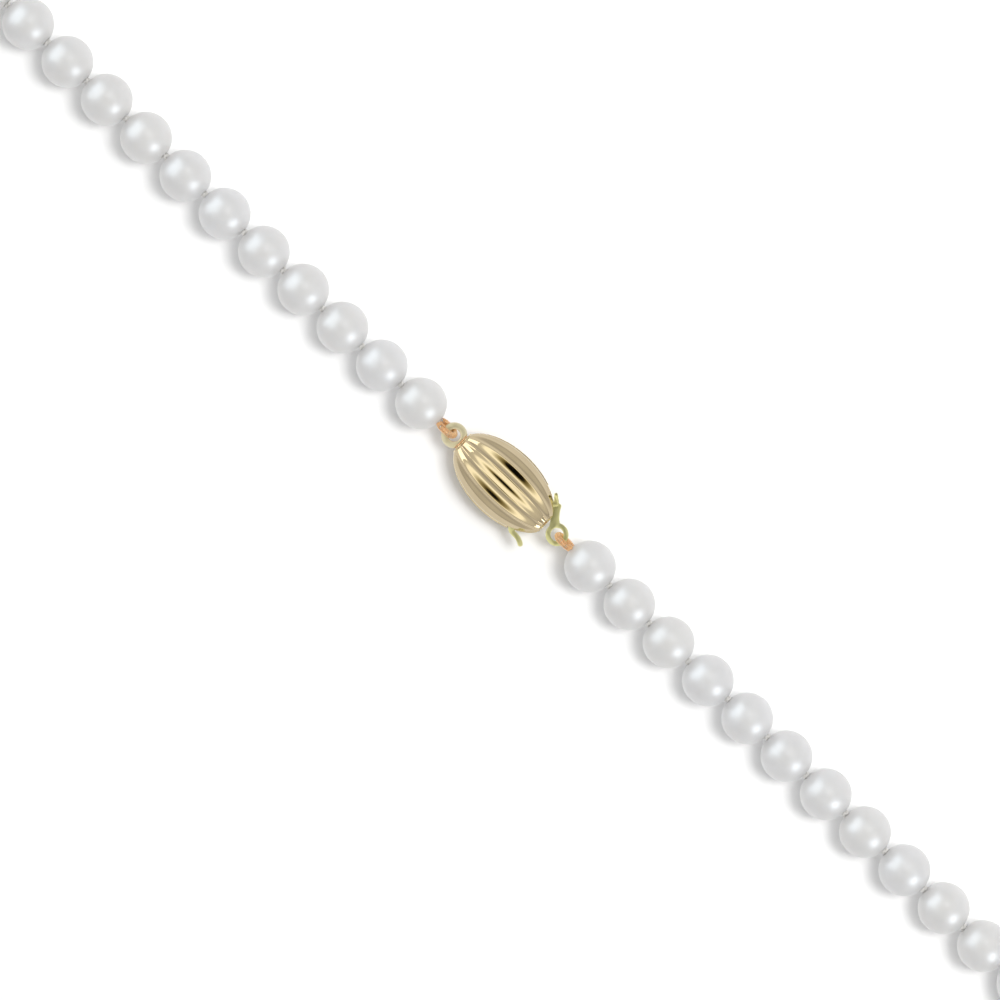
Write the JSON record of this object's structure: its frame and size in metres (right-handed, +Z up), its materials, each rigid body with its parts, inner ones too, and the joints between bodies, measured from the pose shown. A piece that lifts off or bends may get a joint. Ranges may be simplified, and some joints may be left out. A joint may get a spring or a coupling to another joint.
{
  "type": "pearl necklace",
  "caption": "Knotted single-strand pearl necklace laid flat in a D-shaped loop, closed by a fluted oval gold case clasp with a flat swinging hook.",
  "frame": {"origin": "on the surface that the necklace lies on, under the middle of its bounding box", "axes": "+X along the straight stretch with the clasp, from the case to the hook; +Y from the front of the strand to the clasp; +Z up"},
  "size_m": [0.1902, 0.0904, 0.0055],
  "materials": {
    "pearl": "gloss",
    "silk": "matte",
    "case_gold": "polished",
    "rim_gold": "polished",
    "rose_gold": "polished",
    "fitting_gold": "satin",
    "tongue_gold": "satin",
    "french_wire": "satin"
  },
  "bodies": {
    "front": {"pearls_front": "pearl", "silk_front": "silk"},
    "a11": {"pearls_a11": "pearl", "silk_a11": "silk"},
    "b11": {"pearls_b11": "pearl", "silk_b11": "silk"},
    "a10": {"pearls_a10": "pearl", "silk_a10": "silk"},
    "b10": {"pearls_b10": "pearl", "silk_b10": "silk"},
    "a09": {"pearls_a09": "pearl", "silk_a09": "silk"},
    "b09": {"pearls_b09": "pearl", "silk_b09": "silk"},
    "a08": {"pearls_a08": "pearl", "silk_a08": "silk"},
    "b08": {"pearls_b08": "pearl", "silk_b08": "silk"},
    "a07": {"pearls_a07": "pearl", "silk_a07": "silk"},
    "b07": {"pearls_b07": "pearl", "silk_b07": "silk"},
    "a06": {"pearls_a06": "pearl", "silk_a06": "silk"},
    "b06": {"pearls_b06": "pearl", "silk_b06": "silk"},
    "a05": {"pearls_a05": "pearl", "silk_a05": "silk"},
    "b05": {"pearls_b05": "pearl", "silk_b05": "silk"},
    "a04": {"pearls_a04": "pearl", "silk_a04": "silk"},
    "b04": {"pearls_b04": "pearl", "silk_b04": "silk"},
    "a03": {"pearls_a03": "pearl", "silk_a03": "silk"},
    "b03": {"pearls_b03": "pearl", "silk_b03": "silk"},
    "a02": {"pearls_a02": "pearl", "silk_a02": "silk"},
    "b02": {"pearls_b02": "pearl", "silk_b02": "silk"},
    "a01": {"pearls_a01": "pearl", "silk_a01": "silk"},
    "b01": {"pearls_b01": "pearl", "silk_b01": "silk"},
    "case": {"case_top": "case_gold", "case_bottom": "case_gold", "seam_rim": "rim_gold", "end_collar": "rose_gold", "case_eye": "fitting_gold", "catch_pin": "fitting_gold", "french_wire_a": "french_wire", "silk_loop_a": "silk"},
    "loop_b": {"french_wire_b": "french_wire", "silk_loop_b": "silk"},
    "hook": {"hook_plate": "fitting_gold", "tongue_rivet": "rim_gold"},
    "tongue": {"spring_tongue": "tongue_gold"}
  },
  "joints": [
    {"name": "front_curl", "type": "hinge", "parent": "front", "child": "b11", "pos_m": [0.00866, -0.04214, 0.00275], "axis": [1, 0, 0], "range_deg": [0, 12]},
    {"name": "curl_a11", "type": "hinge", "parent": "front", "child": "a11", "pos_m": [-0.00866, -0.04214, 0.00275], "axis": [1, 0, 0], "range_deg": [0, 12]},
    {"name": "curl_b10", "type": "hinge", "parent": "b11", "child": "b10", "pos_m": [0.02574, -0.03923, 0.00275], "axis": [1, 0, 0], "range_deg": [0, 12]},
    {"name": "curl_a10", "type": "hinge", "parent": "a11", "child": "a10", "pos_m": [-0.02574, -0.03923, 0.00275], "axis": [1, 0, 0], "range_deg": [0, 12]},
    {"name": "curl_b09", "type": "hinge", "parent": "b10", "child": "b09", "pos_m": [0.04208, -0.03349, 0.00275], "axis": [1, 0, 0], "range_deg": [0, 12]},
    {"name": "curl_a09", "type": "hinge", "parent": "a10", "child": "a09", "pos_m": [-0.04208, -0.03349, 0.00275], "axis": [1, 0, 0], "range_deg": [0, 12]},
    {"name": "strand_lift", "type": "hinge", "parent": "b09", "child": "b08", "pos_m": [0.05722, -0.02508, 0.00275], "axis": [1, 0, 0], "range_deg": [0, 25]},
    {"name": "lift_a08", "type": "hinge", "parent": "a09", "child": "a08", "pos_m": [-0.05722, -0.02508, 0.00275], "axis": [1, 0, 0], "range_deg": [0, 25]},
    {"name": "lift_b07", "type": "hinge", "parent": "b08", "child": "b07", "pos_m": [0.07074, -0.01425, 0.00275], "axis": [1, 0, 0], "range_deg": [0, 25]},
    {"name": "lift_a07", "type": "hinge", "parent": "a08", "child": "a07", "pos_m": [-0.07074, -0.01425, 0.00275], "axis": [1, 0, 0], "range_deg": [0, 25]},
    {"name": "lift_b06", "type": "hinge", "parent": "b07", "child": "b06", "pos_m": [0.08224, -0.00129, 0.00275], "axis": [1, 0, 0], "range_deg": [0, 25]},
    {"name": "lift_a06", "type": "hinge", "parent": "a07", "child": "a06", "pos_m": [-0.08224, -0.00129, 0.00275], "axis": [1, 0, 0], "range_deg": [0, 25]},
    {"name": "strand_sway", "type": "hinge", "parent": "b06", "child": "b05", "pos_m": [0.0914, 0.01341, 0.00275], "axis": [0, 0, 1], "range_deg": [-12, 12]},
    {"name": "sway_a05", "type": "hinge", "parent": "a06", "child": "a05", "pos_m": [-0.0914, 0.01341, 0.00275], "axis": [0, 0, 1], "range_deg": [-12, 12]},
    {"name": "sway_b04", "type": "hinge", "parent": "b05", "child": "b04", "pos_m": [0.0914, 0.03061, 0.00275], "axis": [0, 0, 1], "range_deg": [-12, 12]},
    {"name": "sway_a04", "type": "hinge", "parent": "a05", "child": "a04", "pos_m": [-0.0914, 0.03061, 0.00275], "axis": [0, 0, 1], "range_deg": [-12, 12]},
    {"name": "strand_roll", "type": "hinge", "parent": "b04", "child": "b03", "pos_m": [0.07889, 0.04148, 0.00275], "axis": [1, 0, 0], "range_deg": [-15, 15]},
    {"name": "roll_a03", "type": "hinge", "parent": "a04", "child": "a03", "pos_m": [-0.07889, 0.04148, 0.00275], "axis": [1, 0, 0], "range_deg": [-15, 15]},
    {"name": "roll_b02", "type": "hinge", "parent": "b03", "child": "b02", "pos_m": [0.05577, 0.04148, 0.00275], "axis": [1, 0, 0], "range_deg": [-15, 15]},
    {"name": "roll_a02", "type": "hinge", "parent": "a03", "child": "a02", "pos_m": [-0.05577, 0.04148, 0.00275], "axis": [1, 0, 0], "range_deg": [-15, 15]},
    {"name": "roll_b01", "type": "hinge", "parent": "b02", "child": "b01", "pos_m": [0.03265, 0.04148, 0.00275], "axis": [1, 0, 0], "range_deg": [-15, 15]},
    {"name": "roll_a01", "type": "hinge", "parent": "a02", "child": "a01", "pos_m": [-0.03265, 0.04148, 0.00275], "axis": [1, 0, 0], "range_deg": [-15, 15]},
    {"name": "roll_mouth_b", "type": "hinge", "parent": "b01", "child": "loop_b", "pos_m": [0.00953, 0.04148, 0.00275], "axis": [1, 0, 0], "range_deg": [-15, 15]},
    {"name": "roll_mouth_a", "type": "hinge", "parent": "a01", "child": "case", "pos_m": [-0.00953, 0.04148, 0.00275], "axis": [1, 0, 0], "range_deg": [-15, 15]},
    {"name": "hook_swing", "type": "hinge", "parent": "loop_b", "child": "hook", "pos_m": [0.00756, 0.04148, 0.00275], "axis": [0, 0, -1], "range_deg": [0, 85]},
    {"name": "tongue_press", "type": "hinge", "parent": "hook", "child": "tongue", "pos_m": [0.00371, 0.03988, 0.00301], "axis": [-0.984, 0.1783, 0], "range_deg": [0, 2.5], "stiffness_Nm_per_rad": 0.01}
  ],
  "couplings": [
    {"joint": "curl_a11", "follows": "front_curl", "ratio": 1},
    {"joint": "curl_b10", "follows": "front_curl", "ratio": 1},
    {"joint": "curl_a10", "follows": "front_curl", "ratio": 1},
    {"joint": "curl_b09", "follows": "front_curl", "ratio": 1},
    {"joint": "curl_a09", "follows": "front_curl", "ratio": 1},
    {"joint": "lift_a08", "follows": "strand_lift", "ratio": 1},
    {"joint": "lift_b07", "follows": "strand_lift", "ratio": 1},
    {"joint": "lift_a07", "follows": "strand_lift", "ratio": 1},
    {"joint": "lift_b06", "follows": "strand_lift", "ratio": 1},
    {"joint": "lift_a06", "follows": "strand_lift", "ratio": 1},
    {"joint": "sway_a05", "follows": "strand_sway", "ratio": 1},
    {"joint": "sway_b04", "follows": "strand_sway", "ratio": -1},
    {"joint": "sway_a04", "follows": "strand_sway", "ratio": -1},
    {"joint": "roll_a03", "follows": "strand_roll", "ratio": 1},
    {"joint": "roll_b02", "follows": "strand_roll", "ratio": 1},
    {"joint": "roll_a02", "follows": "strand_roll", "ratio": 1},
    {"joint": "roll_b01", "follows": "strand_roll", "ratio": 1},
    {"joint": "roll_a01", "follows": "strand_roll", "ratio": 1},
    {"joint": "roll_mouth_b", "follows": "strand_roll", "ratio": 1},
    {"joint": "roll_mouth_a", "follows": "strand_roll", "ratio": 1}
  ]
}
